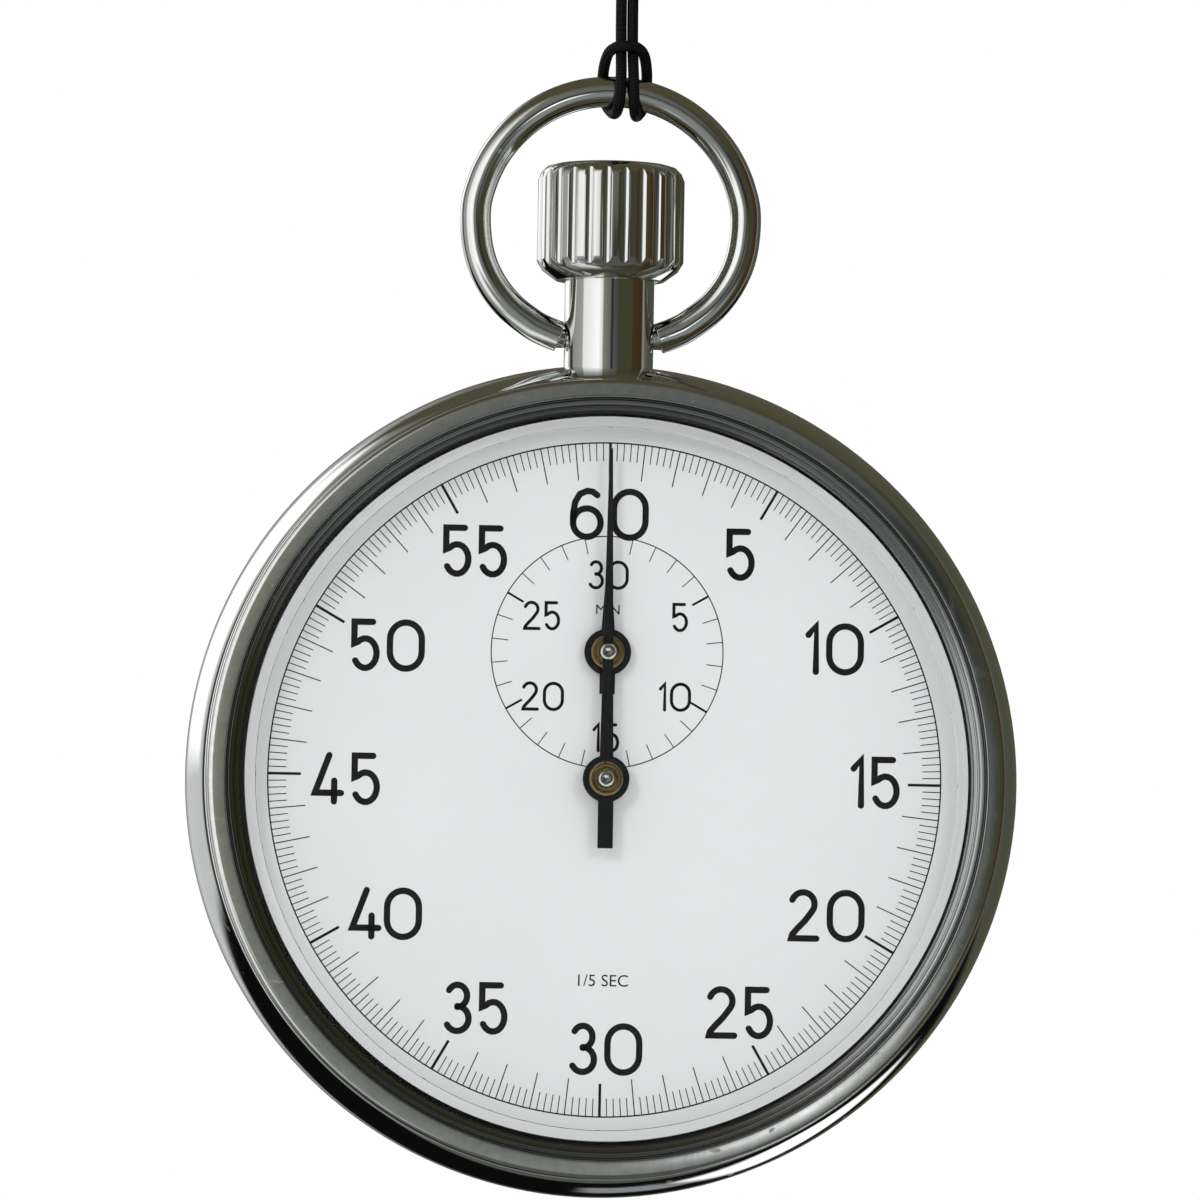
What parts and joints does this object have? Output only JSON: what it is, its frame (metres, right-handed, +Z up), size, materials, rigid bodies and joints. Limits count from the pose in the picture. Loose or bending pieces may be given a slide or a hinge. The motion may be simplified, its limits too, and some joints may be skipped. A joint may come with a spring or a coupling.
{
  "type": "mechanical stopwatch",
  "caption": "Hand-wound pocket stopwatch with a centre seconds hand, a minute counter sub-dial, a crown that winds and pushes, a hinged bow and a cord lanyard.",
  "frame": {"origin": "inside the top of the lanyard's eye, where the stopwatch hangs", "axes": "+Z up along the crown and the lanyard, +Y out of the case back, +X to the right of the dial"},
  "size_m": [0.052, 0.012, 0.1119],
  "materials": {
    "case_chrome": "polished",
    "brass": "satin",
    "steel": "satin",
    "spring_steel": "blued",
    "dial": "matt",
    "hands": "matt",
    "crystal": "clear",
    "cord": "woven"
  },
  "bodies": {
    "hanger": {"bow": "case_chrome", "lanyard_left": "cord", "lanyard_right": "cord", "lanyard_eye": "cord", "lanyard_knot": "cord"},
    "case": {"case_band": "case_chrome", "case_back": "case_chrome", "bezel": "case_chrome", "crystal": "crystal", "dial": "dial", "movement_ring": "brass", "neck_tube": "case_chrome", "main_plate": "brass", "top_plate": "brass", "pillar_1": "brass", "pillar_2": "brass", "pillar_3": "brass", "plate_screw_1": "spring_steel", "plate_screw_2": "spring_steel", "plate_screw_3": "spring_steel", "crown_wheel_core": "steel", "click_stud": "steel", "click_spring": "spring_steel", "balance_cock": "brass", "hairspring": "spring_steel", "lever_stud": "steel", "hammer_stud": "steel", "brake_stud": "steel", "minute_jumper": "spring_steel"},
    "pusher": {"push_sleeve": "steel", "push_spring": "spring_steel"},
    "crown": {"crown": "case_chrome", "winding_stem": "steel"},
    "winding_pinion": {"winding_pinion": "steel"},
    "crown_wheel": {"crown_wheel": "steel"},
    "ratchet": {"ratchet_wheel": "steel"},
    "seconds": {"seconds_wheel": "brass", "second_hand": "hands", "second_collet": "brass", "seconds_heart": "steel"},
    "third": {"third_wheel": "brass"},
    "centre": {"centre_wheel": "brass"},
    "barrel": {"barrel_drum": "brass", "mainspring": "spring_steel"},
    "escape": {"escape_wheel": "steel"},
    "counter": {"counter_wheel": "brass"},
    "minute": {"minute_wheel": "brass", "minute_hand": "hands", "minute_collet": "brass", "minute_heart": "steel"},
    "pallet": {"pallet_lever": "steel"},
    "balance": {"balance_wheel": "brass"},
    "operating_lever": {"operating_lever": "steel"},
    "column": {"column_wheel": "steel"},
    "hammer": {"reset_hammer": "steel"},
    "brake": {"brake_lever": "steel"},
    "click": {"click": "steel"}
  },
  "joints": [
    {"name": "bow_swing", "type": "hinge", "parent": "hanger", "child": "case", "pos_m": [0, 0, -0.05767], "axis": [1, 0, 0], "range_deg": [-85, 85]},
    {"name": "crown_push", "type": "slide", "parent": "case", "child": "pusher", "axis": [0, 0, -1], "range_m": [0, 0.0015], "stiffness_N_per_m": 800, "deforming": ["push_spring"]},
    {"name": "crown_turn", "type": "hinge", "parent": "pusher", "child": "crown", "pos_m": [-0.00081, 0, -0.05518], "axis": [0, 0, 1], "continuous": true},
    {"name": "winding_pinion_turn", "type": "hinge", "parent": "case", "child": "winding_pinion", "pos_m": [-0.00081, 0, -0.06538], "axis": [0, 0, 1], "continuous": true},
    {"name": "crown_wheel_turn", "type": "hinge", "parent": "case", "child": "crown_wheel", "pos_m": [-0.00081, 0, -0.06838], "axis": [0, -1, 0], "continuous": true},
    {"name": "ratchet_turn", "type": "hinge", "parent": "case", "child": "ratchet", "pos_m": [-0.00821, 0, -0.07278], "axis": [0, -1, 0], "continuous": true},
    {"name": "seconds_spin", "type": "hinge", "parent": "case", "child": "seconds", "pos_m": [-0.00081, 0, -0.08518], "axis": [0, 1, 0], "continuous": true},
    {"name": "third_spin", "type": "hinge", "parent": "case", "child": "third", "pos_m": [-0.00582, 0, -0.08421], "axis": [0, 1, 0], "continuous": true},
    {"name": "centre_spin", "type": "hinge", "parent": "case", "child": "centre", "pos_m": [-0.00911, 0, -0.08027], "axis": [0, 1, 0], "continuous": true},
    {"name": "barrel_spin", "type": "hinge", "parent": "case", "child": "barrel", "pos_m": [-0.00821, 0, -0.07278], "axis": [0, 1, 0], "continuous": true},
    {"name": "escape_spin", "type": "hinge", "parent": "case", "child": "escape", "pos_m": [0.00117, 0, -0.0886], "axis": [0, 1, 0], "continuous": true},
    {"name": "counter_spin", "type": "hinge", "parent": "case", "child": "counter", "pos_m": [0.00096, 0, -0.08137], "axis": [0, 1, 0], "continuous": true},
    {"name": "minute_spin", "type": "hinge", "parent": "case", "child": "minute", "pos_m": [-0.00081, 0, -0.07742], "axis": [0, 1, 0], "continuous": true},
    {"name": "pallet_rock", "type": "hinge", "parent": "case", "child": "pallet", "pos_m": [0.00283, 0, -0.09109], "axis": [0, 1, 0], "range_deg": [-3, 3]},
    {"name": "balance_swing", "type": "hinge", "parent": "case", "child": "balance", "pos_m": [0.00669, 0, -0.09688], "axis": [0, 1, 0], "range_deg": [-220, 220]},
    {"name": "lever_swing", "type": "hinge", "parent": "case", "child": "operating_lever", "pos_m": [0.00869, 0, -0.06997], "axis": [0, -1, 0], "range_deg": [0, 9.6]},
    {"name": "column_turn", "type": "hinge", "parent": "case", "child": "column", "pos_m": [0.01019, 0, -0.07598], "axis": [0, -1, 0], "continuous": true},
    {"name": "hammer_swing", "type": "hinge", "parent": "case", "child": "hammer", "pos_m": [0.00479, 0, -0.07258], "axis": [0, 1, 0], "range_deg": [0, 2]},
    {"name": "brake_swing", "type": "hinge", "parent": "case", "child": "brake", "pos_m": [0.01539, 0, -0.08668], "axis": [0, -1, 0], "range_deg": [0, 4.5]},
    {"name": "click_swing", "type": "hinge", "parent": "case", "child": "click", "pos_m": [-0.01601, 0, -0.07537], "axis": [0, -1, 0], "range_deg": [0, 5]}
  ],
  "couplings": [
    {"joint": "winding_pinion_turn", "follows": "crown_turn", "ratio": 1},
    {"joint": "crown_wheel_turn", "follows": "crown_turn", "ratio": 0.4},
    {"joint": "ratchet_turn", "follows": "crown_turn", "ratio": -0.28571},
    {"joint": "lever_swing", "follows": "crown_push", "rad_per_m": 110.5},
    {"joint": "seconds_spin", "follows": "escape_spin", "ratio": -0.1},
    {"joint": "third_spin", "follows": "escape_spin", "ratio": 0.013333},
    {"joint": "centre_spin", "follows": "escape_spin", "ratio": -0.0016667},
    {"joint": "barrel_spin", "follows": "escape_spin", "ratio": 0.00027778},
    {"joint": "counter_spin", "follows": "escape_spin", "ratio": 0.016667},
    {"joint": "minute_spin", "follows": "escape_spin", "ratio": -0.0033333}
  ]
}
